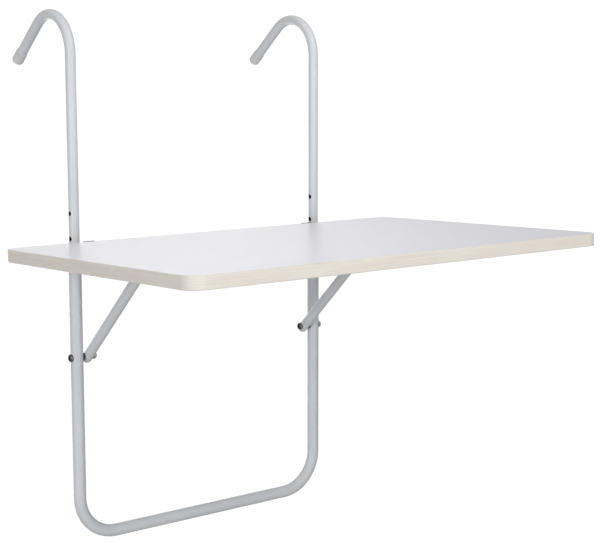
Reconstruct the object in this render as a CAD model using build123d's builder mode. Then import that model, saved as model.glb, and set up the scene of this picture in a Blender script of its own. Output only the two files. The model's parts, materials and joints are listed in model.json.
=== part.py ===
from build123d import *
from math import atan2, cos, degrees, hypot, radians, sin, tan
import os

# Folding balcony table. Two hooks hang it on a balcony rail, a U-shaped tube frame
# leans on the balusters below, and the board folds down in front of that frame.
# Millimetres. +X runs along the rail to the right, -Y towards the person who sits at
# the table, +Z up. The origin is on the rail seat: under the crowns of the two hooks,
# midway between them.

# Driving dimensions: tube frame
upright_spacing = 379.0
frame_tube_od = 16.0
frame_tube_wall = 1.2
frame_bend_radius = 52.0
bar_below_table = 382.0
leg_above_hinge = 18.0

# Driving dimensions: hooks
hook_slip = 0.3
hook_tube_wall = 1.2
hook_arc_radius = 50.0
hook_tail_slope = 39.0
hook_tail_length = 72.0
hook_drop = 271.0
hook_below_hinge = 60.0
height_hole_pitch = 31.5
spare_height_holes = 2
cap_wall = 0.9
cap_overlap = 16.0
cap_end = 3.0
cap_rounding = 4.5

# Driving dimensions: board
board_width = 600.0
board_depth = 400.0
board_thickness = 15.0
board_corner_radius = 20.0
board_rise = 1.8
board_behind_gap = 15.0
laminate_thickness = 0.8
edge_band_thickness = 1.5
edge_band_rounding = 0.8

# Driving dimensions: board hinge
fold_gap = 6.5
bracket_sheet = 2.5
bracket_eye_radius = 9.0
bracket_base_length = 46.0
bracket_base_width = 34.0
bracket_corner_radius = 6.0
bracket_rear_width = 15.0
bracket_rear_height = 16.0
bracket_rear_gap = 16.0
bracket_rear_below_top = 1.2
bracket_screw_inset = 10.0

# Driving dimensions: stays and the rod that joins them
pivot_below_table = 148.0
stay_tube_od = 13.0
stay_tube_wall = 1.2
stay_end_overhang = 10.5
rod_diameter = 8.0
rod_from_rear_edge = 109.0
rod_below_board = 12.0
rest_spacing = 200.0
rest_width = 24.0
rest_front = 14.0
rest_rear = 12.0
rest_rear_lip = 2.0
rest_ramp = 12.0
rest_tab = 10.0
rest_tab_thickness = 3.0

# Driving dimensions: fasteners
bolt_diameter = 6.0
bolt_head_diameter = 10.0
bolt_head_height = 2.6
bolt_head_rounding = 1.8
bolt_recess_length = 5.0
bolt_recess_width = 1.3
bolt_recess_depth = 1.3
spacer_diameter = 10.0
spacer_thickness = 1.2
nut_diameter = 9.5
nut_height = 4.4
nut_rounding = 3.0
nut_thread_depth = 3.6
screw_diameter = 4.0
screw_length = 14.0
screw_head_diameter = 8.0
screw_head_height = 2.4
screw_head_rounding = 1.4

# Clearances
drill_clearance = 0.25
running_clearance = 0.05
face_gap = 0.3
bolt_end_gap = 0.4

# Places worked out from the sizes above
hook_tube_od = frame_tube_od - 2 * frame_tube_wall - 2 * hook_slip
upright_x = upright_spacing / 2
upright_y = -hook_arc_radius
table_z = -hook_drop
hinge_below_table = board_thickness + frame_tube_od / 2 + fold_gap
hinge_z = table_z - hinge_below_table
pivot_z = table_z - pivot_below_table
bar_z = table_z - bar_below_table
leg_top_z = hinge_z + leg_above_hinge
board_rear_y = upright_y - frame_tube_od / 2 - board_behind_gap
height_holes = [hinge_z + i * height_hole_pitch for i in range(spare_height_holes + 1)]

# The board's own plane: its origin is the middle of the rear top edge, local -Y runs to
# the front edge and local +Z out of the top face. The front edge is a little raised.
rise = radians(board_rise)
board_plane = Plane(
    origin=(0, board_rear_y, table_z), x_dir=(1, 0, 0), z_dir=(0, sin(rise), cos(rise))
)
hinge_local = board_plane.to_local_coords(Vector(0, upright_y, hinge_z))
rod_y_local = -rod_from_rear_edge
rod_z_local = -board_thickness - rod_below_board
rod_centre = board_plane.from_local_coords(Vector(0, rod_y_local, rod_z_local))

# A stay runs from its pivot bolt on the leg up to the rod under the board.
stay_run = upright_y - rod_centre.Y
stay_climb = rod_centre.Z - pivot_z
stay_length = hypot(stay_run, stay_climb)
stay_angle = degrees(atan2(stay_climb, stay_run))
stay_direction = (0, -stay_run / stay_length, stay_climb / stay_length)

# Faces along X, from the leg inwards: spacer, then the ear or the stay, then the seat of
# the bolt's head or nut on its inner side.
leg_inner_x = upright_x - frame_tube_od / 2
leg_outer_x = upright_x + frame_tube_od / 2
swivel_x = leg_inner_x - spacer_thickness - face_gap
ear_inner_x = swivel_x - bracket_sheet
stay_x = swivel_x - stay_tube_od / 2
hinge_seat_x = ear_inner_x - face_gap
pivot_seat_x = swivel_x - stay_tube_od - face_gap

# Radii of the holes
drill_radius = bolt_diameter / 2 + drill_clearance
swivel_radius = bolt_diameter / 2 + running_clearance
rod_hole_radius = rod_diameter / 2 + running_clearance
screw_hole_radius = screw_diameter / 2 + running_clearance

# Screw places in the board's plane, on the right half; the left half mirrors them.
bracket_mid_x = ear_inner_x - bracket_base_width / 2
bracket_screws_local = [
    (bracket_mid_x - bracket_base_width / 4, -bracket_screw_inset),
    (bracket_mid_x + bracket_base_width / 4, -bracket_screw_inset),
    (bracket_mid_x, -bracket_base_length + bracket_screw_inset),
]
rest_x = rest_spacing / 2
rest_mid_y = rod_y_local + (rest_rear - rest_front) / 2
rest_screw_offset = (rest_width + rest_tab) / 2
rest_screws_local = [
    (rest_x - rest_screw_offset, rest_mid_y),
    (rest_x + rest_screw_offset, rest_mid_y),
]

sides = {"left": -1, "right": 1}
os.makedirs("parts", exist_ok=True)


def save(piece, name):
    """Label a finished piece and write it to its own file."""
    piece.part.label = name
    export_step(piece.part, f"parts/{name}.step")


def both_halves(points):
    """Points given on the right half, and their mirror images on the left half."""
    return [(side * x, y) for side in sides.values() for x, y in points]


def board_section(x):
    """A plane square to X whose coordinates are the board's own Y and Z."""
    return Plane(
        origin=board_plane.from_local_coords(Vector(x, 0, 0)),
        x_dir=board_plane.y_dir,
        z_dir=(1, 0, 0),
    )


# The U-shaped frame: one tube, down the left leg, along the bottom bar and up the right
# leg, drilled across each leg for the hinge bolt and for the stay's pivot bolt.
with BuildPart() as u_frame:
    with BuildLine() as frame_path:
        FilletPolyline(
            (-upright_x, upright_y, leg_top_z),
            (-upright_x, upright_y, bar_z),
            (upright_x, upright_y, bar_z),
            (upright_x, upright_y, leg_top_z),
            radius=frame_bend_radius,
        )
    with BuildSketch(Plane(origin=frame_path.line @ 0, z_dir=frame_path.line % 0)):
        Circle(frame_tube_od / 2)
        Circle(frame_tube_od / 2 - frame_tube_wall, mode=Mode.SUBTRACT)
    sweep(path=frame_path.line)
    with BuildSketch(Plane.YZ):
        with Locations((upright_y, hinge_z), (upright_y, pivot_z)):
            Circle(drill_radius)
    extrude(amount=leg_outer_x, both=True, mode=Mode.SUBTRACT)
save(u_frame, "u_frame")

# The hooks: each tube rises out of its leg, turns over the rail and runs down behind it.
# One of its holes takes the hinge bolt, the others are for other heights of the table.
arc_centre_z = hook_tube_od / 2 - hook_arc_radius
hook_ends = {}
for name, side in sides.items():
    with BuildPart() as hook_tube:
        with BuildLine(Plane.YZ.offset(side * upright_x)) as hook_path:
            riser = Line((upright_y, hinge_z - hook_below_hinge), (upright_y, arc_centre_z))
            crown = JernArc(riser @ 1, riser % 1, hook_arc_radius, -90 - hook_tail_slope)
            tail = PolarLine(crown @ 1, hook_tail_length, direction=crown % 1)
        with BuildSketch(Plane(origin=hook_path.line @ 0, z_dir=hook_path.line % 0)):
            Circle(hook_tube_od / 2)
            Circle(hook_tube_od / 2 - hook_tube_wall, mode=Mode.SUBTRACT)
        sweep(path=hook_path.line)
        with BuildSketch(Plane.YZ.offset(side * upright_x)):
            with Locations(*[(upright_y, z) for z in height_holes]):
                Circle(drill_radius)
        extrude(amount=hook_tube_od, both=True, mode=Mode.SUBTRACT)
    save(hook_tube, f"hook_tube_{name}")
    hook_ends[name] = Plane(origin=tail @ 1, x_dir=tail % 1, z_dir=(1, 0, 0))

# The caps: soft plastic cups pushed over the free ends of the hooks.
cap_bore = hook_tube_od / 2 + running_clearance
cap_radius = cap_bore + cap_wall
for name in sides:
    end = hook_ends[name]
    with BuildPart() as hook_cap:
        with BuildSketch(end):
            with BuildLine():
                Polyline(
                    (cap_end, cap_radius - cap_rounding),
                    (cap_end, 0),
                    (0, 0),
                    (0, cap_bore),
                    (-cap_overlap, cap_bore),
                    (-cap_overlap, cap_radius),
                    (cap_end - cap_rounding, cap_radius),
                )
                RadiusArc(
                    (cap_end - cap_rounding, cap_radius),
                    (cap_end, cap_radius - cap_rounding),
                    cap_rounding,
                )
            make_face()
        revolve(axis=Axis(end.origin, end.x_dir))
    save(hook_cap, f"hook_cap_{name}")

# The board: a core between two laminates, with a pale band round its edge.
core_width = board_width - 2 * edge_band_thickness
core_depth = board_depth - 2 * edge_band_thickness
core_corner = board_corner_radius - edge_band_thickness
board_middle = (0, -board_depth / 2)
screws_local = both_halves(bracket_screws_local + rest_screws_local)
screw_point = screw_length - min(bracket_sheet, rest_tab_thickness)


def board_layer(below_top, thickness):
    """One flat layer of the board inside its edge band, at a depth below the top face."""
    with BuildPart() as layer:
        with BuildSketch(board_plane.offset(-below_top)):
            with Locations(board_middle):
                RectangleRounded(core_width, core_depth, core_corner)
        extrude(amount=-thickness)
        with BuildSketch(board_plane.offset(-board_thickness)):
            with Locations(*screws_local):
                Circle(screw_hole_radius)
        extrude(amount=screw_point + bolt_end_gap, mode=Mode.SUBTRACT)
    return layer


core_thickness = board_thickness - 2 * laminate_thickness
save(board_layer(0, laminate_thickness), "top_laminate")
save(board_layer(laminate_thickness, core_thickness), "board_core")
save(board_layer(board_thickness - laminate_thickness, laminate_thickness), "bottom_laminate")

with BuildPart() as edge_band:
    with BuildSketch(board_plane):
        with Locations(board_middle):
            RectangleRounded(board_width, board_depth, board_corner_radius)
    extrude(amount=-board_thickness)
    rims = edge_band.faces().sort_by(Axis(board_plane.origin, board_plane.z_dir))
    fillet(rims[0].edges() + rims[-1].edges(), edge_band_rounding)
    with BuildSketch(board_plane):
        with Locations(board_middle):
            RectangleRounded(core_width, core_depth, core_corner)
    extrude(amount=-board_thickness, mode=Mode.SUBTRACT)
save(edge_band, "edge_band")

# The hinge brackets: bent sheet with a base under the board, an ear beside the leg that
# turns on the hinge bolt, and a stiffening flange behind the board's rear edge.
ear_rise = -hinge_local.Z - bracket_rear_below_top
for name, side in sides.items():
    with BuildPart() as hinge_bracket:
        with BuildSketch(board_section(side * swivel_x)):
            with Locations((hinge_local.Y, hinge_local.Z)):
                Circle(bracket_eye_radius)
            with Locations((0, -board_thickness)):
                Rectangle(bracket_base_length, bracket_sheet, align=(Align.MAX, Align.MAX))
            make_hull()
            with Locations((bracket_rear_gap, -bracket_rear_below_top)):
                Rectangle(bracket_sheet, ear_rise, align=(Align.MIN, Align.MAX))
            with Locations((hinge_local.Y, hinge_local.Z)):
                Circle(swivel_radius, mode=Mode.SUBTRACT)
        extrude(amount=-side * bracket_sheet)
        with BuildSketch(board_plane.offset(-board_thickness)) as base:
            with Locations((side * bracket_mid_x, -bracket_base_length / 2)):
                Rectangle(bracket_base_width, bracket_base_length)
            free_corners = base.vertices().group_by(Axis.X)[0 if side > 0 else -1]
            fillet(free_corners, bracket_corner_radius)
            with Locations(*[(side * x, y) for x, y in bracket_screws_local]):
                Circle(screw_hole_radius, mode=Mode.SUBTRACT)
        extrude(amount=-bracket_sheet)
        with BuildSketch(board_plane.offset(-bracket_rear_below_top)):
            with Locations((side * (swivel_x - bracket_rear_width / 2), bracket_rear_gap)):
                Rectangle(bracket_rear_width, bracket_sheet, align=(Align.CENTER, Align.MIN))
        extrude(amount=-bracket_rear_height)
    save(hinge_bracket, f"hinge_bracket_{name}")

# The rod rests: blocks under the board with a groove for the rod. The groove is open
# forwards along a shallow ramp, the way the rod leaves when the table folds.
groove_radius = rod_diameter / 2 + face_gap
ramp = radians(rest_ramp)
ramp_start = (-groove_radius * sin(ramp), groove_radius * cos(ramp))
ramp_end_z = ramp_start[1] - (rest_front + ramp_start[0]) * tan(ramp)


def around_rod(y, z):
    """Board coordinates of a point given from the rod's centre."""
    return (rod_y_local + y, rod_z_local + z)


for name, side in sides.items():
    with BuildPart() as rod_rest:
        with BuildSketch(board_section(side * rest_x)):
            with BuildLine():
                Polyline(
                    around_rod(*ramp_start),
                    around_rod(-rest_front, ramp_end_z),
                    around_rod(-rest_front, rod_below_board),
                    around_rod(rest_rear, rod_below_board),
                    around_rod(rest_rear, -rest_rear_lip),
                    around_rod(groove_radius, -rest_rear_lip),
                    around_rod(groove_radius, 0),
                )
                CenterArc(around_rod(0, 0), groove_radius, 0, 90 + rest_ramp)
            make_face()
        extrude(amount=rest_width / 2, both=True)
        with BuildSketch(board_plane.offset(-board_thickness)):
            with Locations((side * rest_x, rest_mid_y)):
                Rectangle(rest_width + 2 * rest_tab, rest_front + rest_rear)
            with Locations(*[(side * x, y) for x, y in rest_screws_local]):
                Circle(screw_hole_radius, mode=Mode.SUBTRACT)
        extrude(amount=-rest_tab_thickness)
    save(rod_rest, f"rod_rest_{name}")


def wood_screws(points, seat_below_board):
    """Pan head wood screws driven up into the board, seated on a sheet under it."""
    seat = board_plane.offset(-board_thickness - seat_below_board)
    with BuildPart() as screws:
        with BuildSketch(seat):
            with Locations(*points):
                Circle(screw_head_diameter / 2)
        extrude(amount=-screw_head_height)
        heads = screws.faces().filter_by(GeomType.PLANE).group_by(Axis(seat.origin, seat.z_dir))
        fillet([edge for face in heads[0] for edge in face.edges()], screw_head_rounding)
        with BuildSketch(seat):
            with Locations(*points):
                Circle(screw_diameter / 2)
        extrude(amount=screw_length)
    return screws


save(wood_screws(both_halves(bracket_screws_local), bracket_sheet), "bracket_screws")
save(wood_screws(both_halves(rest_screws_local), rest_tab_thickness), "rod_rest_screws")

# The stays: tubes with domed ends. Each turns on a pivot bolt in its leg, and its upper
# end holds the cross rod, which enters through the inner wall only.
dome_spacing = stay_length + 2 * stay_end_overhang - stay_tube_od
for name, side in sides.items():
    stay_plane = Plane(
        origin=(side * stay_x, upright_y, pivot_z), x_dir=stay_direction, z_dir=(1, 0, 0)
    )
    with BuildPart() as stay_tube:
        with BuildSketch(stay_plane):
            with Locations((stay_length / 2, 0)):
                SlotCenterToCenter(dome_spacing, stay_tube_od)
                SlotCenterToCenter(dome_spacing, stay_tube_od - 2 * stay_tube_wall, mode=Mode.SUBTRACT)
                Rectangle(
                    dome_spacing + stay_tube_od,
                    stay_tube_od,
                    align=(Align.CENTER, Align.MAX),
                    mode=Mode.SUBTRACT,
                )
        revolve(axis=Axis(stay_plane.origin, stay_plane.x_dir))
        with BuildSketch(stay_plane):
            Circle(swivel_radius)
        extrude(amount=stay_tube_od, both=True, mode=Mode.SUBTRACT)
        with BuildSketch(stay_plane):
            with Locations((stay_length, 0)):
                Circle(rod_hole_radius)
        extrude(amount=-side * stay_tube_od, mode=Mode.SUBTRACT)
    save(stay_tube, f"stay_tube_{name}")

with BuildPart() as cross_rod:
    with BuildSketch(Plane.YZ):
        with Locations((rod_centre.Y, rod_centre.Z)):
            Circle(rod_diameter / 2)
    extrude(amount=stay_x, both=True)
save(cross_rod, "cross_rod")


def pan_bolt(head_x, tip_x, z):
    """A bolt along +X through one leg, with a cross recess in its head."""
    place = (upright_y, z)
    with BuildPart() as bolt:
        with BuildSketch(Plane.YZ.offset(head_x)):
            with Locations(place):
                Circle(bolt_head_diameter / 2)
        extrude(amount=-bolt_head_height)
        crown = bolt.faces().filter_by(GeomType.PLANE).sort_by(Axis.X)[0]
        fillet(crown.edges(), bolt_head_rounding)
        with BuildSketch(Plane.YZ.offset(head_x - bolt_head_height)):
            with Locations(place):
                Rectangle(bolt_recess_length, bolt_recess_width)
                Rectangle(bolt_recess_width, bolt_recess_length)
        extrude(amount=bolt_recess_depth, mode=Mode.SUBTRACT)
        with BuildSketch(Plane.YZ.offset(head_x)):
            with Locations(place):
                Circle(bolt_diameter / 2)
        extrude(amount=tip_x - head_x)
    return bolt


def dome_nut(seat_x, z):
    """A low round nut, closed by its dome, on the far end of a bolt along +X."""
    place = (upright_y, z)
    with BuildPart() as nut:
        with BuildSketch(Plane.YZ.offset(seat_x)):
            with Locations(place):
                Circle(nut_diameter / 2)
        extrude(amount=nut_height)
        dome = nut.faces().filter_by(GeomType.PLANE).sort_by(Axis.X)[-1]
        fillet(dome.edges(), nut_rounding)
        with BuildSketch(Plane.YZ.offset(seat_x)):
            with Locations(place):
                Circle(swivel_radius)
        extrude(amount=nut_thread_depth, mode=Mode.SUBTRACT)
    return nut


def spacer_ring(start_x, z):
    """A flat ring on a bolt, from start_x along +X."""
    with BuildPart() as spacer:
        with BuildSketch(Plane.YZ.offset(start_x)):
            with Locations((upright_y, z)):
                Circle(spacer_diameter / 2)
                Circle(drill_radius, mode=Mode.SUBTRACT)
        extrude(amount=spacer_thickness)
    return spacer


# The fasteners on each leg: one set at the board's hinge, one at the stay's pivot. Every
# bolt goes in from the left, and the spacers lie on the inner sides of the legs.
bolted_places = {"hinge": (hinge_seat_x, hinge_z), "pivot": (pivot_seat_x, pivot_z)}
for joint, (inner_x, z) in bolted_places.items():
    for name, side in sides.items():
        head_x, nut_x = sorted((side * inner_x, side * leg_outer_x))
        tip_x = nut_x + nut_thread_depth - bolt_end_gap
        spacer_x = min(side * leg_inner_x, side * (leg_inner_x - spacer_thickness))
        save(pan_bolt(head_x, tip_x, z), f"{joint}_bolt_{name}")
        save(dome_nut(nut_x, z), f"{joint}_nut_{name}")
        save(spacer_ring(spacer_x, z), f"{joint}_spacer_{name}")

print("stay angle above level, degrees:", round(stay_angle, 3))
print("stay length between centres:", round(stay_length, 3))
print("hinge y, z:", upright_y, hinge_z)
print("pivot y, z:", upright_y, pivot_z)
print("rod y, z:", round(rod_centre.Y, 3), round(rod_centre.Z, 3))
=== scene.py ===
"""Finishes for the folding balcony table, the small pieces that the packed model leaves plain,
and the studio that it is seen in. Everything is in metres, in the frame of the packed model:
+X runs along the rail, -Y towards the person at the table, +Z up.
"""

import json
from math import atan2, cos, pi, radians, sin

import bpy
import numpy as np
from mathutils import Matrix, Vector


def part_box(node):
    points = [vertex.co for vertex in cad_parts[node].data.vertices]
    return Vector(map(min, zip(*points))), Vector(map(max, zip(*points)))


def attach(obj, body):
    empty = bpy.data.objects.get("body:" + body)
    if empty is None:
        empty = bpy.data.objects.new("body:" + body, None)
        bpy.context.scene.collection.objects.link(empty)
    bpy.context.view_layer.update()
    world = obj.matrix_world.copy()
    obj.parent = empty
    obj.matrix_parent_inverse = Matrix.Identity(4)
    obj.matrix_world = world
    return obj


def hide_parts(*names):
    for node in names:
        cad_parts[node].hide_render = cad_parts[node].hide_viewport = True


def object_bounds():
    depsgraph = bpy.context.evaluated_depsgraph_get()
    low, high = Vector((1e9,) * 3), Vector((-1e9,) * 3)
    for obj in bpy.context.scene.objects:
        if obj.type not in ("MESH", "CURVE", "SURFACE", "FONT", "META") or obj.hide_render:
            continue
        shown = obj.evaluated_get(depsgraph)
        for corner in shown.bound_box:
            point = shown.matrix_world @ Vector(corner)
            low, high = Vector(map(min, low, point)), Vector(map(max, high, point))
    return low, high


bl_info = {
    "name": "Folding Balcony Table",
    "version": (1, 0, 0),
    "blender": (4, 5, 0),
    "location": "3D View > Sidebar > Balcony Table",
    "description": "Finishes and small pieces of a folding balcony table, and its studio",
    "category": "Object",
}

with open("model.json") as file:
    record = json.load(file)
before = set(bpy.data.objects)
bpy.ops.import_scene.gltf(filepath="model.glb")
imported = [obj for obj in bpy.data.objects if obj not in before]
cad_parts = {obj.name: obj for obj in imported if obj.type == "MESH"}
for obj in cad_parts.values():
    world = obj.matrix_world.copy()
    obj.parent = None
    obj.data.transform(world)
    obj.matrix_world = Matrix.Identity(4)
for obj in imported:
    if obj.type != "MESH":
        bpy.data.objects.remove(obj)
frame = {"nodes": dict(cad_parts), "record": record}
CAD_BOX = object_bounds()

ALONG_RAIL = np.array([1.0, 0.0, 0.0])
SIDES = {"left": -1, "right": 1}

# New meshes stay sharp where they bend by more than this.
SHARP_BEND = radians(48)

# The board's own axes, read from the packed record: the middle of its top face, the way out of
# that face, and the way back to the rail.
TOP_FACE = next(mount for mount in frame["record"]["mounts"] if mount["name"] == "table_top")
BOARD_TOP = np.array(TOP_FACE["pos_m"])
BOARD_UP = np.array(TOP_FACE["axis"])
BOARD_BACK = np.cross(BOARD_UP, ALONG_RAIL)


def board_size():
    """Width, depth and thickness of the board, from the box round its tilted edge band."""
    low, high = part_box("edge_band")
    spans = [[BOARD_UP[2], BOARD_UP[1]], [BOARD_UP[1], BOARD_UP[2]]]
    depth, thickness = np.linalg.solve(spans, [high.y - low.y, high.z - low.z])
    return round(high.x - low.x, 4), round(float(depth), 4), round(float(thickness), 4)


BOARD_WIDTH, BOARD_DEPTH, BOARD_THICKNESS = board_size()


# Settings


def length(name, description, default):
    """A size in metres."""
    return bpy.props.FloatProperty(
        name=name, description=description, default=default, precision=5, unit="LENGTH", subtype="DISTANCE"
    )


def angle(name, description, degrees):
    """An angle, given in degrees and kept in radians."""
    return bpy.props.FloatProperty(
        name=name, description=description, default=radians(degrees), subtype="ANGLE", unit="ROTATION"
    )


def colour(name, description, default):
    """A colour in linear light."""
    return bpy.props.FloatVectorProperty(
        name=name, description=description, default=default, size=3, min=0.0, max=1.0, subtype="COLOR"
    )


def share(name, description, default):
    """A number from 0 to 1."""
    return bpy.props.FloatProperty(
        name=name, description=description, default=default, min=0.0, max=1.0, subtype="FACTOR"
    )


def power(name, description, default):
    """A light's power in watts."""
    return bpy.props.FloatProperty(name=name, description=description, default=default, unit="POWER")


def place(name, description, default):
    """A point in the model's frame."""
    return bpy.props.FloatVectorProperty(
        name=name,
        description=description,
        default=default,
        size=3,
        precision=4,
        unit="LENGTH",
        subtype="TRANSLATION",
    )


def walls(name, description, default):
    """Brightness of three sides of the room, along X, Y and Z."""
    return bpy.props.FloatVectorProperty(
        name=name, description=description, default=default, size=3, min=0.0, subtype="XYZ"
    )


class TableSizes(bpy.types.PropertyGroup):
    """Sizes of the pieces that this file makes."""

    board_width: length("Board width", "Board from left to right", BOARD_WIDTH)
    board_depth: length("Board depth", "Board from rear to front", BOARD_DEPTH)
    board_thickness: length("Board thickness", "Board with both laminates", BOARD_THICKNESS)
    corner_radius: length("Corner radius", "Round corners of the board", 0.020)
    band_thickness: length("Band thickness", "Edge band, out from the core", 0.0015)
    band_rounding: length("Band rounding", "Eased edges of the band", 0.0008)
    hook_bend: length("Hook bend", "From a crown down to where the bend is over", 0.12)
    tail_slope: angle("Tail slope", "Hooks' free ends, below level", 39.0)
    cap_bore: length("Cap bore", "Inner radius of a hook cap", 0.00655)
    cap_wall: length("Cap wall", "Wall of a hook cap", 0.0009)
    cap_overlap: length("Cap overlap", "How far a cap covers its tube", 0.016)
    cap_end: length("Cap end", "Closed end of a cap, past the tube", 0.003)
    cap_rounding: length("Cap rounding", "Rounding of the closed end", 0.0045)
    screw_radius: length("Screw radius", "Shank of a wood screw", 0.002)
    screw_length: length("Screw length", "Wood screw, under its head", 0.014)
    screw_head_radius: length("Screw head radius", "Pan head of a wood screw", 0.004)
    screw_head_height: length("Screw head height", "Pan head of a wood screw", 0.0024)
    screw_head_rounding: length("Screw head rounding", "Pan head of a wood screw", 0.0014)
    bracket_sheet: length("Bracket sheet", "Steel of the hinge brackets", 0.0025)
    rest_tab: length("Rest tab", "Screw tabs of the rod rests", 0.003)
    weld_width: length("Weld width", "Bead between the cross rod and a stay", 0.0018)


class TableFinish(bpy.types.PropertyGroup):
    """Colours and sheens of the table."""

    coat: colour("Tube coat", "Powder coat on the tubes", (0.680, 0.702, 0.720))
    coat_roughness: share("Tube roughness", "Mean roughness of the powder coat", 0.38)
    # Near black: the bare steel inside the hook tubes, with the shade that falls in their holes painted
    # in.
    bore: colour("Bore with painted shade", "Steel inside the hook tubes", (0.012, 0.012, 0.013))
    laminate: colour("Laminate", "White faces of the board", (0.86, 0.85, 0.90))
    laminate_roughness: share("Laminate roughness", "Mean roughness of the white faces", 0.36)
    wood_pale: colour("Pale wood", "Lighter streaks of the edge band", (0.79, 0.76, 0.685))
    wood_rosy: colour("Rosy wood", "Warmer patches of the edge band", (0.78, 0.715, 0.655))
    wood_line: colour("Wood line", "Fine darker grain of the edge band", (0.62, 0.56, 0.49))
    chips: colour("Chips", "Particle board of the core", (0.40, 0.29, 0.18))
    bracket: colour("Bracket coat", "Dark coat on the hinge brackets", (0.035, 0.036, 0.040))
    bolt: colour("Bolt finish", "Blackened bolts", (0.20, 0.20, 0.205))
    zinc: colour("Zinc", "Plated nuts, screws and rod", (0.70, 0.71, 0.72))
    nylon: colour("Nylon", "Spacers on the bolts", (0.05, 0.05, 0.052))
    cap: colour("Cap plastic", "Soft caps on the hooks", (0.70, 0.71, 0.71))
    rubber: colour("Rubber", "Rests under the board", (0.020, 0.020, 0.021))


class TableStudio(bpy.types.PropertyGroup):
    """Camera, lights and floor."""

    camera_place: place("Camera place", "Where the camera stands", (-1.0733, -1.6269, -0.0566))
    camera_turn: angle("Camera turn", "From straight ahead, towards the right", 38.171)
    camera_dip: angle("Camera dip", "Below level", 8.08)
    lens: bpy.props.FloatProperty(
        name="Lens", description="Focal length on a 36 mm wide sensor", default=87.038, unit="CAMERA"
    )
    floor_height: length("Floor height", "Studio floor, well below the hanging table", -2.0)
    floor_width: length("Floor width", "Side of the square floor", 2.4)
    backdrop: bpy.props.FloatProperty(
        name="Backdrop", description="Brightness of the room and the floor as seen", default=1.05, min=0.0
    )
    far_walls: walls("Far walls", "Brightness at the right, rear and above", (0.27, 0.27, 0.62))
    near_walls: walls("Near walls", "Brightness at the left, front and below", (0.27, 0.43, 0.36))
    glow_turn: angle("Glow turn", "Glow on the rear wall, from straight behind to the right", 33.0)
    glow_rise: angle("Glow rise", "Glow on the rear wall, above level", 10.0)
    glow_narrowness: bpy.props.FloatProperty(
        name="Glow narrowness", description="Larger is narrower", default=48.0, min=1.0
    )
    glow_strength: bpy.props.FloatProperty(
        name="Glow strength", description="Brightness of the glow's middle", default=1.75, min=0.0
    )
    upper_place: place("Upper place", "Soft light in front, above the board", (0.6, -2.0, 1.6))
    upper_power: power("Upper power", "Soft light in front, above the board", 20.0)
    upper_width: length("Upper width", "Soft light in front, above the board", 0.8)
    left_place: place("Left place", "Large soft light at the left", (-3.0, -1.4, 0.2))
    left_power: power("Left power", "Large soft light at the left", 40.0)
    left_width: length("Left width", "Large soft light at the left", 1.5)
    low_place: place("Low place", "Soft light in front, below the board", (-0.2, -1.8, -0.5))
    low_power: power("Low power", "Soft light in front, below the board", 5.5)
    low_width: length("Low width", "Soft light in front, below the board", 0.6)
    rear_place: place("Rear place", "Soft light behind, below the board", (0.4, 2.4, -1.2))
    rear_power: power("Rear power", "Soft light behind, below the board", 26.0)
    rear_width: length("Rear width", "Soft light behind, below the board", 2.0)


# Shapes


def grid_faces(rows, columns, wrap_rows=False):
    """Quads between neighbouring points of a grid whose columns close on themselves."""
    i, j = np.meshgrid(np.arange(rows if wrap_rows else rows - 1), np.arange(columns), indexing="ij")
    below = (i + 1) % rows
    beside = (j + 1) % columns
    corners = [i * columns + j, i * columns + beside, below * columns + beside, below * columns + j]
    return np.stack(corners, axis=-1).reshape(-1, 4)


def rounded_rectangle(width, depth, radius, steps):
    """Outline of a rectangle with round corners, against the clock.

    Corner k is the quarter circle centre + radius * (cos a, sin a), with a from k to k + 1 right
    angles, and the straight sides are the gaps between the corners. Returns the points, their
    outward normals, and the length run at each point and on the return to the first one.
    """
    angles = (np.arange(4)[:, None] * pi / 2 + np.linspace(0, pi / 2, steps)).ravel()
    normals = np.stack([np.cos(angles), np.sin(angles)], axis=1)
    signs = np.repeat([[1, 1], [-1, 1], [-1, -1], [1, -1]], steps, axis=0)
    points = signs * [width / 2 - radius, depth / 2 - radius] + radius * normals
    sides = np.linalg.norm(np.roll(points, -1, axis=0) - points, axis=1)
    return points, normals, np.concatenate([[0], np.cumsum(sides)])


def band_profile(thickness, height, rounding, steps):
    """Section of the edge band, as distance out from the board's outline and height.

    It starts and ends at the core. Both outer corners are quarter circles of the rounding's
    radius: from the top face round to the side, and from the side round to the bottom face.
    """
    turn = np.linspace(0, pi / 2, steps)
    out = np.concatenate([rounding * (np.sin(turn) - 1), rounding * (np.cos(turn) - 1)])
    up = np.concatenate([rounding * (np.cos(turn) - 1), rounding * (1 - np.sin(turn)) - height])
    return np.concatenate([[-thickness], out, [-thickness]]), np.concatenate([[0.0], up, [-height]])


def cap_profile(bore, wall, overlap, end, rounding):
    """Section of a cup, as radius and height above the tube's end, from nose to floor.

    Past its flat nose the closed end rounds off as a quarter circle. The rim is a half circle
    over the wall, and the inside goes back along the bore to the floor on the tube's end.
    """
    outer = bore + wall
    turn = np.linspace(0, pi / 2, 17)
    rim = np.linspace(0, pi, 13)
    flat = np.linspace(0, outer - rounding, 6)[:-1]
    radii = [
        flat,
        outer - rounding + rounding * np.sin(turn),
        bore + wall / 2 * (1 + np.cos(rim)),
        [bore, 0.0],
    ]
    heights = [
        np.full(len(flat), end),
        end - rounding + rounding * np.cos(turn),
        wall / 2 * (1 - np.sin(rim)) - overlap,
        [0.0, 0.0],
    ]
    return np.concatenate(radii), np.concatenate(heights)


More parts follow.
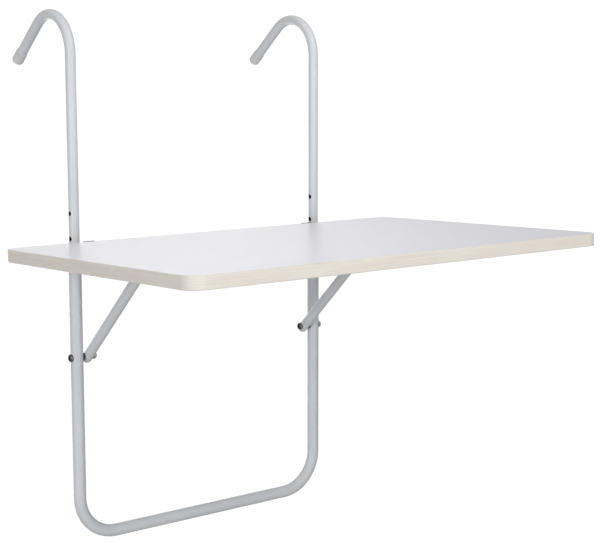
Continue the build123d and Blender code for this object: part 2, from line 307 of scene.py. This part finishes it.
def screw_profile(head_radius, head_height, rounding, shank_radius, shank_length):
    """Section of a screw, as radius and height above its seat, from head to tip.

    The head is flat in the middle, where close rings leave room for a recess, and rounds off as
    a quarter ellipse as high as the rounding. A plain shank goes down from the seat.
    """
    flat = np.linspace(0, head_radius - rounding, 10)[:-1]
    turn = np.linspace(0, pi / 2, 15)
    radii = [
        flat,
        head_radius - rounding + rounding * np.sin(turn),
        [head_radius, shank_radius, shank_radius, 0.0],
    ]
    heights = [
        np.full(len(flat), head_height),
        head_height - rounding + rounding * np.cos(turn),
        [0.0, 0.0, -shank_length, -shank_length],
    ]
    return np.concatenate(radii), np.concatenate(heights)


def cross_recess(head_radius):
    """A driver's cross in a head: two crossing slots with sloping ends and walls.

    A slot's share is 1 inside its edges and falls to 0 over the blur. The deeper of both slots
    is taken off the head's height.
    """
    half_width, half_length, depth, blur = np.array([0.12, 0.52, 0.30, 0.10]) * head_radius

    def inside(edge, distance):
        return np.clip((edge - np.abs(distance)) / blur + 0.5, 0, 1)

    def sink(x, y):
        along = inside(half_length, x) * inside(half_width, y)
        across = inside(half_width, x) * inside(half_length, y)
        return depth * np.maximum(along, across)

    return sink


def lathe(radii, heights, segments, sink=None):
    """Surface of revolution (r cos a, r sin a, h), closed by a pole at each end of its profile.

    The first and last radius are 0. sink(x, y) is taken off the heights of the profile's first
    part, up to its largest radius. Returns the points, the quads and the two fans of triangles.
    """
    angles = np.arange(segments) * 2 * pi / segments
    x = radii[:, None] * np.cos(angles)
    y = radii[:, None] * np.sin(angles)
    z = np.repeat(heights[:, None], segments, axis=1)
    if sink:
        z -= (np.arange(len(radii)) < np.argmax(radii))[:, None] * sink(x, y)
    rings = np.stack([x, y, z], axis=-1)
    points = np.concatenate([rings[1:-1].reshape(-1, 3), rings[0, :1], rings[-1, :1]])
    last_ring = (len(radii) - 3) * segments
    around = np.arange(segments)
    beside = np.roll(around, -1)
    first_pole = np.full(segments, last_ring + segments)
    first_fan = np.stack([first_pole, beside, around], axis=1)
    last_fan = np.stack([first_pole + 1, last_ring + around, last_ring + beside], axis=1)
    return points, [grid_faces(len(radii) - 2, segments), first_fan, last_fan]


def weld_bead(rod_radius, stay_radius, width, segments=96, ripples=11, swell=0.08):
    """Bead round a rod where it meets the round side of a tube that it stands on.

    Rod angle a runs from the tube's own direction. The section is a quarter circle on the corner
    between rod and tube: at its angle b it reaches width * cos b along the rod and width * sin b
    out from it, and the width swells a little as the weld goes round. At a distance r out from
    the rod's axis, the tube's side lies sqrt(stay_radius^2 - (r sin a)^2) off the tube's axis.
    A last row, sunk in the metal, closes the section. Returns distances off the tube's axis,
    along the tube and across it, and the quads.
    """
    a = np.arange(segments) * 2 * pi / segments
    b = np.linspace(0, pi / 2, 9)[:, None]
    reach = width * (1 + swell * np.sin(ripples * a))
    sunk = np.full((1, segments), -width / 3)
    out = rod_radius + np.concatenate([np.sin(b) * reach, sunk])
    along_rod = np.concatenate([np.cos(b) * reach, sunk])
    off_tube = np.sqrt(stay_radius**2 - (out * np.sin(a)) ** 2) + along_rod
    faces = grid_faces(len(out), segments, wrap_rows=True)
    return off_tube.ravel(), (out * np.cos(a)).ravel(), (out * np.sin(a)).ravel(), faces


def on_board(x, y, z):
    """Points given along the board's own axes, from the middle of its top face."""
    return BOARD_TOP + x[..., None] * ALONG_RAIL + y[..., None] * BOARD_BACK + z[..., None] * BOARD_UP


def stand(points, seat, axis, sideways):
    """Points carried to a seat, with their Z along axis and their X along sideways."""
    return seat + points @ np.stack([sideways, np.cross(axis, sideways), axis])


def signed_volume(points, faces):
    """Six times the volume under the faces, each cut into triangles from its first corner."""
    first = points[faces[:, 0]]
    fans = range(1, faces.shape[1] - 1)
    return sum(np.sum(first * np.cross(points[faces[:, k]], points[faces[:, k + 1]])) for k in fans)


def make_piece(name, points, face_sets, material, body):
    """A smooth mesh from a point array and arrays of faces, turned outwards, that rides on a body."""
    middle = points.mean(axis=0)
    if sum(signed_volume(points - middle, faces) for faces in face_sets) < 0:
        face_sets = [faces[:, ::-1] for faces in face_sets]
    mesh = bpy.data.meshes.new(name)
    mesh.from_pydata(points.tolist(), [], [face for faces in face_sets for face in faces.tolist()])
    mesh.polygons.foreach_set("use_smooth", np.ones(len(mesh.polygons), dtype=bool))
    mesh.set_sharp_from_angle(angle=SHARP_BEND)
    mesh.materials.append(material)
    mesh.update()
    piece = bpy.data.objects.new(name, mesh)
    bpy.context.scene.collection.objects.link(piece)
    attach(piece, body)
    return piece


def repeated(places, face_sets):
    """One point array and its faces, from the same shape standing in several places."""
    count = len(places[0])
    shifts = np.arange(len(places))[:, None, None] * count
    return np.concatenate(places), [(faces + shifts).reshape(-1, faces.shape[1]) for faces in face_sets]


# Finishes


def start_finish(name):
    """A new node material, its tree and its shader."""
    material = bpy.data.materials.new(name)
    material.use_nodes = True
    return material, material.node_tree, material.node_tree.nodes["Principled BSDF"]


def set_sockets(tree, node, sockets):
    """Sets each named input, or links it where the value is another node's output."""
    for key, value in sockets.items():
        if isinstance(value, bpy.types.NodeSocket):
            tree.links.new(value, node.inputs[key])
        else:
            node.inputs[key].default_value = value


def add(tree, kind, sockets):
    """A node of one kind, with its inputs set or linked."""
    node = tree.nodes.new(kind)
    set_sockets(tree, node, sockets)
    return node


def object_place(tree):
    """Coordinates in metres, in the model's frame."""
    return add(tree, "ShaderNodeTexCoord", {}).outputs["Object"]


def noise(tree, vector, scale, detail=2.0, roughness=0.5):
    """Noise with about scale cells to the metre."""
    sockets = {"Vector": vector, "Scale": scale, "Detail": detail, "Roughness": roughness}
    return add(tree, "ShaderNodeTexNoise", sockets).outputs["Fac"]


def stretched(tree, vector, scale):
    """Coordinates with each axis scaled by its own number."""
    return add(tree, "ShaderNodeMapping", {"Vector": vector, "Scale": scale}).outputs["Vector"]


def tones(tree, factor, low, high, start=0.35, end=0.65):
    """A colour that goes from low to high while the factor goes from start to end."""
    ramp = add(tree, "ShaderNodeValToRGB", {"Fac": factor})
    for element, position, tint in zip(ramp.color_ramp.elements, (start, end), (low, high)):
        element.position = position
        element.color = (*tint, 1.0)
    return ramp.outputs["Color"]


def mixed(tree, factor, low, tint):
    """A colour mixed towards a tint by a factor."""
    sockets = {"Fac": factor, "Color1": low, "Color2": (*tint, 1.0)}
    return add(tree, "ShaderNodeMixRGB", sockets).outputs["Color"]


def spread(tree, factor, low, high):
    """Noise carried to the range from low to high."""
    sockets = {"Value": factor, "From Min": 0.25, "From Max": 0.75, "To Min": low, "To Max": high}
    return add(tree, "ShaderNodeMapRange", sockets).outputs["Result"]


def bump(tree, height, strength, distance):
    """A normal raised by a height field."""
    sockets = {"Height": height, "Strength": strength, "Distance": distance}
    return add(tree, "ShaderNodeBump", sockets).outputs["Normal"]


def maths(tree, operation, first, second):
    """One sum on two numbers or outputs."""
    node = add(tree, "ShaderNodeMath", {0: first, 1: second})
    node.operation = operation
    return node.outputs["Value"]


def vector_maths(tree, operation, first, second):
    """One sum on two vectors or outputs."""
    node = add(tree, "ShaderNodeVectorMath", {0: first, 1: second})
    node.operation = operation
    return node


def shade(tint, amount):
    """A colour made darker or lighter by a factor."""
    return tuple(min(1.0, channel * amount) for channel in tint)


def powder_coat(name, finish):
    """Satin powder coat: even colour with faint clouds, and the fine orange peel of baked powder."""
    material, tree, shader = start_finish(name)
    vector = object_place(tree)
    clouds = noise(tree, vector, 14.0, 3.0)
    sheen = noise(tree, vector, 160.0)
    peel = noise(tree, vector, 900.0)
    sockets = {
        "Base Color": tones(tree, clouds, shade(finish.coat, 0.97), shade(finish.coat, 1.03)),
        "Roughness": spread(tree, sheen, finish.coat_roughness - 0.04, finish.coat_roughness + 0.05),
        "Normal": bump(tree, peel, 0.06, 0.0003),
    }
    set_sockets(tree, shader, sockets)
    return material


def hook_coat(finish, axis, reach):
    """Powder coat of the hook tubes, stopping at their holes; the bore is bare steel with painted shade.

    The bore is what lies within reach of the line that goes straight down from axis, in the right
    hook tube. That distance is taken from axis to (|x|, y, the higher of z and axis z).
    """
    material = powder_coat("hook_powder_coat", finish)
    tree = material.node_tree
    coat = tree.nodes["Principled BSDF"].inputs["Base Color"]
    parts = add(tree, "ShaderNodeSeparateXYZ", {"Vector": object_place(tree)}).outputs
    side = maths(tree, "ABSOLUTE", parts["X"], 0.0)
    height = maths(tree, "MAXIMUM", parts["Z"], axis[2])
    point = add(tree, "ShaderNodeCombineXYZ", {"X": side, "Y": parts["Y"], "Z": height}).outputs["Vector"]
    away = vector_maths(tree, "DISTANCE", point, axis).outputs["Value"]
    bore = maths(tree, "LESS_THAN", away, reach)
    # Painted shade: the bore is mixed to the near-black colour, which stands for bare steel and for the
    # shade in the holes.
    tree.links.new(mixed(tree, bore, coat.links[0].from_socket, finish.bore), coat)
    return material


def white_melamine(finish):
    """White melamine: a faint pearl texture pressed in, with barely seen mottling."""
    material, tree, shader = start_finish("white_melamine")
    vector = object_place(tree)
    mottle = noise(tree, vector, 30.0, 4.0)
    sheen = noise(tree, vector, 90.0)
    pearl = noise(tree, vector, 1500.0, 1.0)
    mean = finish.laminate_roughness
    sockets = {
        "Base Color": tones(tree, mottle, shade(finish.laminate, 0.993), shade(finish.laminate, 1.007)),
        "Roughness": spread(tree, sheen, mean - 0.03, mean + 0.04),
        "Normal": bump(tree, pearl, 0.06, 0.0002),
    }
    set_sockets(tree, shader, sockets)
    return material


def pale_edge_wood(finish):
    """Pale wood that runs along the edge: long rosy patches, fine streaks and a few darker pores.

    The band's own map gives metres along the edge and metres across it, so noise that is drawn
    out along the first turns into grain.
    """
    material, tree, shader = start_finish("pale_edge_wood")
    vector = add(tree, "ShaderNodeUVMap", {}).outputs["UV"]
    patches = noise(tree, stretched(tree, vector, (16.0, 220.0, 1.0)), 1.0)
    streaks = noise(tree, stretched(tree, vector, (9.0, 1100.0, 1.0)), 1.0, 3.0, 0.6)
    pores = noise(tree, stretched(tree, vector, (70.0, 2600.0, 1.0)), 1.0)
    base = tones(tree, patches, finish.wood_pale, finish.wood_rosy, 0.38, 0.66)
    lines = tones(tree, streaks, (0.0,) * 3, (0.8,) * 3, 0.50, 0.80)
    flecks = tones(tree, pores, (0.0,) * 3, (0.3,) * 3, 0.60, 0.76)
    grain = mixed(tree, lines, base, finish.wood_line)
    sockets = {
        "Base Color": mixed(tree, flecks, grain, shade(finish.wood_line, 0.8)),
        "Roughness": spread(tree, streaks, 0.42, 0.55),
        "Normal": bump(tree, streaks, 0.10, 0.0003),
    }
    set_sockets(tree, shader, sockets)
    return material


def chip_board(finish):
    """Particle board: pressed chips of several browns."""
    material, tree, shader = start_finish("chip_board")
    vector = object_place(tree)
    chips = add(tree, "ShaderNodeTexVoronoi", {"Vector": vector, "Scale": 420.0}).outputs["Distance"]
    sockets = {
        "Base Color": tones(tree, chips, shade(finish.chips, 1.2), shade(finish.chips, 0.6), 0.1, 0.9),
        "Roughness": spread(tree, noise(tree, vector, 300.0), 0.75, 0.9),
        "Normal": bump(tree, chips, 0.4, 0.0005),
    }
    set_sockets(tree, shader, sockets)
    return material


def dark_finish(name, tint, roughness, grain, relief):
    """A dark finish whose colour, sheen and surface break up, the surface at its own grain."""
    material, tree, shader = start_finish(name)
    vector = object_place(tree)
    cloud = noise(tree, vector, grain / 8, 3.0)
    sockets = {
        "Base Color": tones(tree, cloud, shade(tint, 0.8), shade(tint, 1.25)),
        "Roughness": spread(tree, cloud, roughness - 0.06, roughness + 0.08),
        "Normal": bump(tree, noise(tree, vector, grain), relief, 0.0003),
    }
    set_sockets(tree, shader, sockets)
    return material


def plated_steel(name, tint, roughness):
    """Plated metal with cool and warm clouds and fine drawing marks along the rail."""
    material, tree, shader = start_finish(name)
    vector = object_place(tree)
    cloud = noise(tree, vector, 120.0, 3.0)
    marks = noise(tree, stretched(tree, vector, (200.0, 2500.0, 2500.0)), 1.0)
    red, green, blue = tint
    cool = (red * 0.95, green, blue * 1.05)
    warm = (red * 1.03, green, blue * 0.93)
    sockets = {
        "Base Color": tones(tree, cloud, cool, warm),
        "Metallic": 1.0,
        "Roughness": spread(tree, cloud, roughness - 0.06, roughness + 0.10),
        "Normal": bump(tree, marks, 0.08, 0.0002),
    }
    set_sockets(tree, shader, sockets)
    return material


def zinc_plate(finish):
    """Bright zinc on the nuts, the wood screws and the cross rod."""
    return plated_steel("zinc_plate", finish.zinc, 0.36)


def blackened_steel(finish):
    """Dark bolts that still shine."""
    return plated_steel("blackened_steel", finish.bolt, 0.24)


def soft_cap_plastic(finish):
    """Soft pale grey plastic: a smooth moulded skin that is lightly hazy."""
    material, tree, shader = start_finish("soft_cap_plastic")
    vector = object_place(tree)
    haze = noise(tree, vector, 80.0, 3.0)
    sockets = {
        "Base Color": tones(tree, haze, shade(finish.cap, 0.94), shade(finish.cap, 1.05)),
        "Roughness": spread(tree, haze, 0.26, 0.38),
        "Normal": bump(tree, noise(tree, vector, 700.0), 0.06, 0.0003),
    }
    set_sockets(tree, shader, sockets)
    return material


def paint(nodes, material):
    """Gives packed nodes a finish in place of their plain one."""
    for node in nodes:
        for material_slot in frame["nodes"][node].material_slots:
            material_slot.material = material


def shared_finish(maker, finish):
    """A finish that several pieces have, made once."""
    return bpy.data.materials.get(maker.__name__) or maker(finish)


# Pieces


class BALCONY_TABLE_OT_tubes(bpy.types.Operator):
    """Powder coat the frame, the hooks and the stays"""

    bl_idname = "balcony_table.tubes"
    bl_label = "Coat Tubes"

    def execute(self, context):
        finish = context.scene.table_finish
        stays = [f"stay_tube_{side}" for side in SIDES]
        paint(["u_frame", *stays], powder_coat("satin_powder_coat", finish))
        # Straight down from the lower end of the hooks' bend, the bore follows the uprights' axis.
        low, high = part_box("hook_tube_right")
        radius = (high.x - low.x) / 2
        axis = ((low.x + high.x) / 2, low.y + radius, -context.scene.table_sizes.hook_bend)
        within_wall = 0.9 * radius
        # The hooks' bores get a near-black colour: bare steel, with the shade inside their holes painted
        # in.
        paint([f"hook_tube_{side}" for side in SIDES], hook_coat(finish, axis, within_wall))
        return {"FINISHED"}


class BALCONY_TABLE_OT_board(bpy.types.Operator):
    """Finish the board's core and its white faces"""

    bl_idname = "balcony_table.board"
    bl_label = "Finish Board"

    def execute(self, context):
        finish = context.scene.table_finish
        paint(["top_laminate", "bottom_laminate"], white_melamine(finish))
        paint(["board_core"], chip_board(finish))
        return {"FINISHED"}


class BALCONY_TABLE_OT_edge_band(bpy.types.Operator):
    """Make the wood edge band, with grain that follows the edge round"""

    bl_idname = "balcony_table.edge_band"
    bl_label = "Make Edge Band"

    def execute(self, context):
        sizes = context.scene.table_sizes
        outline, normals, run = rounded_rectangle(
            sizes.board_width, sizes.board_depth, sizes.corner_radius, steps=33
        )
        out, up = band_profile(sizes.band_thickness, sizes.board_thickness, sizes.band_rounding, steps=9)
        flat = outline + out[:, None, None] * normals
        height = np.repeat(up[:, None], len(outline), axis=1)
        points = on_board(flat[..., 0], flat[..., 1], height).reshape(-1, 3)
        faces = grid_faces(len(out), len(outline), wrap_rows=True)
        wood = pale_edge_wood(context.scene.table_finish)
        band = make_piece("wood_edge_band", points, [faces], wood, "tabletop")
        across = np.concatenate([[0], np.cumsum(np.hypot(np.diff(out), np.diff(up)))])
        self.map_grain(band.data, run, across)
        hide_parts("edge_band")
        return {"FINISHED"}

    def map_grain(self, mesh, run, across):
        """Writes metres along the edge and metres across it for every corner of every face.

        A corner's row and column follow from its point's number. On the faces that close the
        outline, a corner in column 0 takes the whole length instead of none.
        """
        columns = len(run) - 1
        corner = np.zeros(len(mesh.loops), dtype=np.int32)
        mesh.loops.foreach_get("vertex_index", corner)
        row, column = np.divmod(corner.reshape(-1, 4), columns)
        closing = (column == columns - 1).any(axis=1, keepdims=True) & (column == 0)
        grain = np.stack([run[np.where(closing, columns, column)], across[row]], axis=-1)
        mesh.uv_layers.new(name="grain").uv.foreach_set("vector", grain.astype(np.float32).ravel())


class BALCONY_TABLE_OT_hook_caps(bpy.types.Operator):
    """Make the soft caps on the hooks' free ends"""

    bl_idname = "balcony_table.hook_caps"
    bl_label = "Make Hook Caps"

    def execute(self, context):
        sizes = context.scene.table_sizes
        section = cap_profile(
            sizes.cap_bore, sizes.cap_wall, sizes.cap_overlap, sizes.cap_end, sizes.cap_rounding
        )
        points, face_sets = lathe(*section, segments=72)
        plastic = soft_cap_plastic(context.scene.table_finish)
        tilt_sin, tilt_cos = sin(sizes.tail_slope), cos(sizes.tail_slope)
        axis = np.array([0.0, tilt_cos, -tilt_sin])
        outer = sizes.cap_bore + sizes.cap_wall
        for side in SIDES:
            # The rim is the cap's highest and rearmost part, so its middle lies a tilted radius in.
            low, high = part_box(f"hook_cap_{side}")
            rim = np.array([(low.x + high.x) / 2, low.y + outer * tilt_sin, high.z - outer * tilt_cos])
            placed = stand(points, rim + sizes.cap_overlap * axis, axis, ALONG_RAIL)
            cap = make_piece(f"soft_hook_cap_{side}", placed, face_sets, plastic, "frame")
            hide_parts(f"hook_cap_{side}")
        return {"FINISHED"}


class BALCONY_TABLE_OT_wood_screws(bpy.types.Operator):
    """Make the cross head wood screws under the board"""

    bl_idname = "balcony_table.wood_screws"
    bl_label = "Make Wood Screws"

    # Places on the right half of the board, from its middle and in from its rear edge.
    bracket_places = [(0.1520, 0.010), (0.1690, 0.010), (0.1605, 0.036)]
    rest_places = [(0.083, 0.110), (0.117, 0.110)]
    # Each screw is driven this much further round than the one before.
    turn_step = radians(37)

    def execute(self, context):
        sizes = context.scene.table_sizes
        section = screw_profile(
            sizes.screw_head_radius,
            sizes.screw_head_height,
            sizes.screw_head_rounding,
            sizes.screw_radius,
            sizes.screw_length,
        )
        screw, face_sets = lathe(*section, segments=64, sink=cross_recess(sizes.screw_head_radius))
        self.put("bracket", self.bracket_places, sizes.bracket_sheet, screw, face_sets, context)
        self.put("rod_rest", self.rest_places, sizes.rest_tab, screw, face_sets, context)
        return {"FINISHED"}

    def put(self, name, places, under, screw, face_sets, context):
        """Screws on both halves of the board, each turned its own way, seated under the board."""
        sizes = context.scene.table_sizes
        x, inset = np.array([(way * x, inset) for way in SIDES.values() for x, inset in places]).T
        depth = np.full(len(x), -sizes.board_thickness - under)
        seats = on_board(x, sizes.board_depth / 2 - inset, depth)
        turns = np.arange(len(seats))[:, None] * self.turn_step
        sideways = np.cos(turns) * ALONG_RAIL + np.sin(turns) * BOARD_BACK
        screws = [stand(screw, seat, -BOARD_UP, across) for seat, across in zip(seats, sideways)]
        zinc = shared_finish(zinc_plate, context.scene.table_finish)
        points, faces = repeated(screws, face_sets)
        piece = make_piece(f"cross_head_{name}_screws", points, faces, zinc, "tabletop")
        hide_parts(f"{name}_screws")


class BALCONY_TABLE_OT_rod_welds(bpy.types.Operator):
    """Make the weld beads where the cross rod meets the stays"""

    bl_idname = "balcony_table.rod_welds"
    bl_label = "Make Rod Welds"

    def execute(self, context):
        rod_low, rod_high = (np.array(corner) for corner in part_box("cross_rod"))
        rod_middle = (rod_low + rod_high) / 2
        rod_radius = (rod_high[2] - rod_low[2]) / 2
        coat = shared_finish(zinc_plate, context.scene.table_finish)
        for side, way in SIDES.items():
            low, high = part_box(f"stay_tube_{side}")
            stay_width = high.x - low.x
            slope = atan2(high.z - low.z - stay_width, high.y - low.y - stay_width)
            along = np.array([0.0, -cos(slope), sin(slope)])
            across = np.array([0.0, sin(slope), cos(slope)])
            width = context.scene.table_sizes.weld_width
            off_tube, up_tube, over_tube, faces = weld_bead(rod_radius, stay_width / 2, width)
            start = np.array([(low.x + high.x) / 2, rod_middle[1], rod_middle[2]])
            points = start - way * off_tube[:, None] * ALONG_RAIL
            points = points + up_tube[:, None] * along + over_tube[:, None] * across
            make_piece(f"rod_weld_{side}", points, [faces], coat, "stays")
        return {"FINISHED"}


class BALCONY_TABLE_OT_fittings(bpy.types.Operator):
    """Finish the brackets, bolts, nuts, spacers, rod and rod rests"""

    bl_idname = "balcony_table.fittings"
    bl_label = "Finish Fittings"

    def execute(self, context):
        finish = context.scene.table_finish
        joints = [f"{joint}_{{}}_{side}" for joint in ("hinge", "pivot") for side in SIDES]
        paint([joint.format("nut") for joint in joints] + ["cross_rod"], shared_finish(zinc_plate, finish))
        paint([joint.format("bolt") for joint in joints], blackened_steel(finish))
        nylon = dark_finish(
            "black_nylon", finish.nylon, roughness=0.45, grain=700.0, relief=0.08
        )
        paint([joint.format("spacer") for joint in joints], nylon)
        bracket_coat = dark_finish(
            "dark_bracket_coat", finish.bracket, roughness=0.42, grain=900.0, relief=0.15
        )
        paint([f"hinge_bracket_{side}" for side in SIDES], bracket_coat)
        rubber = dark_finish(
            "black_rubber", finish.rubber, roughness=0.72, grain=1600.0, relief=0.25
        )
        paint([f"rod_rest_{side}" for side in SIDES], rubber)
        return {"FINISHED"}


class BALCONY_TABLE_OT_studio(bpy.types.Operator):
    """Set up the floor, the soft light and the camera"""

    bl_idname = "balcony_table.studio"
    bl_label = "Set Up Studio"

    def execute(self, context):
        studio = context.scene.table_studio
        context.scene.view_settings.view_transform = "Standard"
        self.lay_floor(context, studio)
        self.light_room(context, studio)
        for name in ("upper", "left", "low", "rear"):
            where = getattr(studio, f"{name}_place")
            watts = getattr(studio, f"{name}_power")
            width = getattr(studio, f"{name}_width")
            self.hang_light(context, f"{name}_light", where, watts, width)
        camera = bpy.data.objects.new("camera", bpy.data.cameras.new("camera"))
        camera.data.lens = studio.lens
        camera.location = studio.camera_place
        camera.rotation_euler = (pi / 2 - studio.camera_dip, 0.0, -studio.camera_turn)
        context.scene.collection.objects.link(camera)
        context.scene.camera = camera
        return {"FINISHED"}

    def lay_floor(self, context, studio):
        """A pale floor that glows as the room does, so that it goes over into the white behind it."""
        half = studio.floor_width / 2
        corners = [(-half, -half), (half, -half), (half, half), (-half, half)]
        mesh = bpy.data.meshes.new("floor")
        mesh.from_pydata([(x, y, studio.floor_height) for x, y in corners], [], [(0, 1, 2, 3)])
        material, tree, shader = start_finish("pale_floor")
        speck = noise(tree, object_place(tree), 40.0)
        sockets = {
            "Base Color": tones(tree, speck, (0.80,) * 3, (0.82,) * 3),
            "Roughness": 0.9,
            "Emission Color": (1.0, 1.0, 1.0, 1.0),
            "Emission Strength": studio.backdrop,
        }
        set_sockets(tree, shader, sockets)
        mesh.materials.append(material)
        floor = bpy.data.objects.new("floor", mesh)
        floor.visible_diffuse = False
        floor.visible_glossy = False
        floor.visible_transmission = False
        floor.visible_shadow = False
        context.scene.collection.objects.link(floor)

    def light_room(self, context, studio):
        """Soft light from the room's six sides; seen directly, the room is plain white.

        Light from a direction d is the sum of far side * d^2 over the axes where d is above 0, and
        of near side * d^2 over those where it is below. A glow on the rear wall adds the cosine of
        the angle between d and the glow's middle, raised to the glow's narrowness.
        """
        world = bpy.data.worlds.new("white_room")
        world.use_nodes = True
        context.scene.world = world
        tree = world.node_tree
        direction = add(tree, "ShaderNodeTexCoord", {}).outputs["Generated"]
        sides = []
        for part, brightness in (("MAXIMUM", studio.far_walls), ("MINIMUM", studio.near_walls)):
            facing = vector_maths(tree, part, direction, (0.0, 0.0, 0.0)).outputs["Vector"]
            squares = vector_maths(tree, "MULTIPLY", facing, facing).outputs["Vector"]
            sides.append(vector_maths(tree, "DOT_PRODUCT", squares, brightness).outputs["Value"])
        turn, rise = studio.glow_turn, studio.glow_rise
        middle = (cos(rise) * sin(turn), cos(rise) * cos(turn), sin(rise))
        nearness = vector_maths(tree, "DOT_PRODUCT", direction, middle).outputs["Value"]
        spot = maths(tree, "POWER", maths(tree, "MAXIMUM", nearness, 0.0), studio.glow_narrowness)
        glow = maths(tree, "MULTIPLY", spot, studio.glow_strength)
        strength = maths(tree, "ADD", maths(tree, "ADD", *sides), glow)
        white = (1.0, 1.0, 1.0, 1.0)
        lit = add(tree, "ShaderNodeBackground", {"Color": white, "Strength": strength})
        seen = add(tree, "ShaderNodeBackground", {"Color": white, "Strength": studio.backdrop})
        ray = add(tree, "ShaderNodeLightPath", {}).outputs["Is Camera Ray"]
        mix = add(tree, "ShaderNodeMixShader", {0: ray, 1: lit.outputs[0], 2: seen.outputs[0]})
        tree.links.new(mix.outputs[0], tree.nodes["World Output"].inputs["Surface"])

    def hang_light(self, context, name, where, watts, width):
        """A square soft light that faces the table."""
        light = bpy.data.lights.new(name, "AREA")
        light.energy = watts
        light.size = width
        lamp = bpy.data.objects.new(name, light)
        lamp.location = where
        middle = (CAD_BOX[0] + CAD_BOX[1]) / 2
        lamp.rotation_euler = (middle - lamp.location).to_track_quat("-Z", "Y").to_euler()
        lamp.visible_camera = False
        context.scene.collection.objects.link(lamp)


OPERATORS = [
    BALCONY_TABLE_OT_tubes,
    BALCONY_TABLE_OT_board,
    BALCONY_TABLE_OT_edge_band,
    BALCONY_TABLE_OT_hook_caps,
    BALCONY_TABLE_OT_wood_screws,
    BALCONY_TABLE_OT_rod_welds,
    BALCONY_TABLE_OT_fittings,
    BALCONY_TABLE_OT_studio,
]
SETTINGS = {"table_sizes": TableSizes, "table_finish": TableFinish, "table_studio": TableStudio}


class BALCONY_TABLE_PT_panel(bpy.types.Panel):
    """Steps and settings of the balcony table"""

    bl_idname = "BALCONY_TABLE_PT_panel"
    bl_label = "Balcony Table"
    bl_space_type = "VIEW_3D"
    bl_region_type = "UI"
    bl_category = "Balcony Table"

    def draw(self, context):
        for operator in OPERATORS:
            self.layout.operator(operator.bl_idname)
        for name, group in SETTINGS.items():
            box = self.layout.box()
            box.label(text=group.__doc__)
            for setting in group.__annotations__:
                box.prop(getattr(context.scene, name), setting)


CLASSES = [*SETTINGS.values(), *OPERATORS, BALCONY_TABLE_PT_panel]


def register():
    """Adds the classes, and the settings to every scene."""
    for made in CLASSES:
        bpy.utils.register_class(made)
    for name, group in SETTINGS.items():
        setattr(bpy.types.Scene, name, bpy.props.PointerProperty(type=group))


def unregister():
    """Takes the settings and the classes away again."""
    for name in SETTINGS:
        delattr(bpy.types.Scene, name)
    for made in reversed(CLASSES):
        bpy.utils.unregister_class(made)


def main():
    """Makes every piece and the studio."""
    register()
    for operator in OPERATORS:
        getattr(bpy.ops.balcony_table, operator.bl_idname.split(".")[1])()


if __name__ == "__main__":
    main()
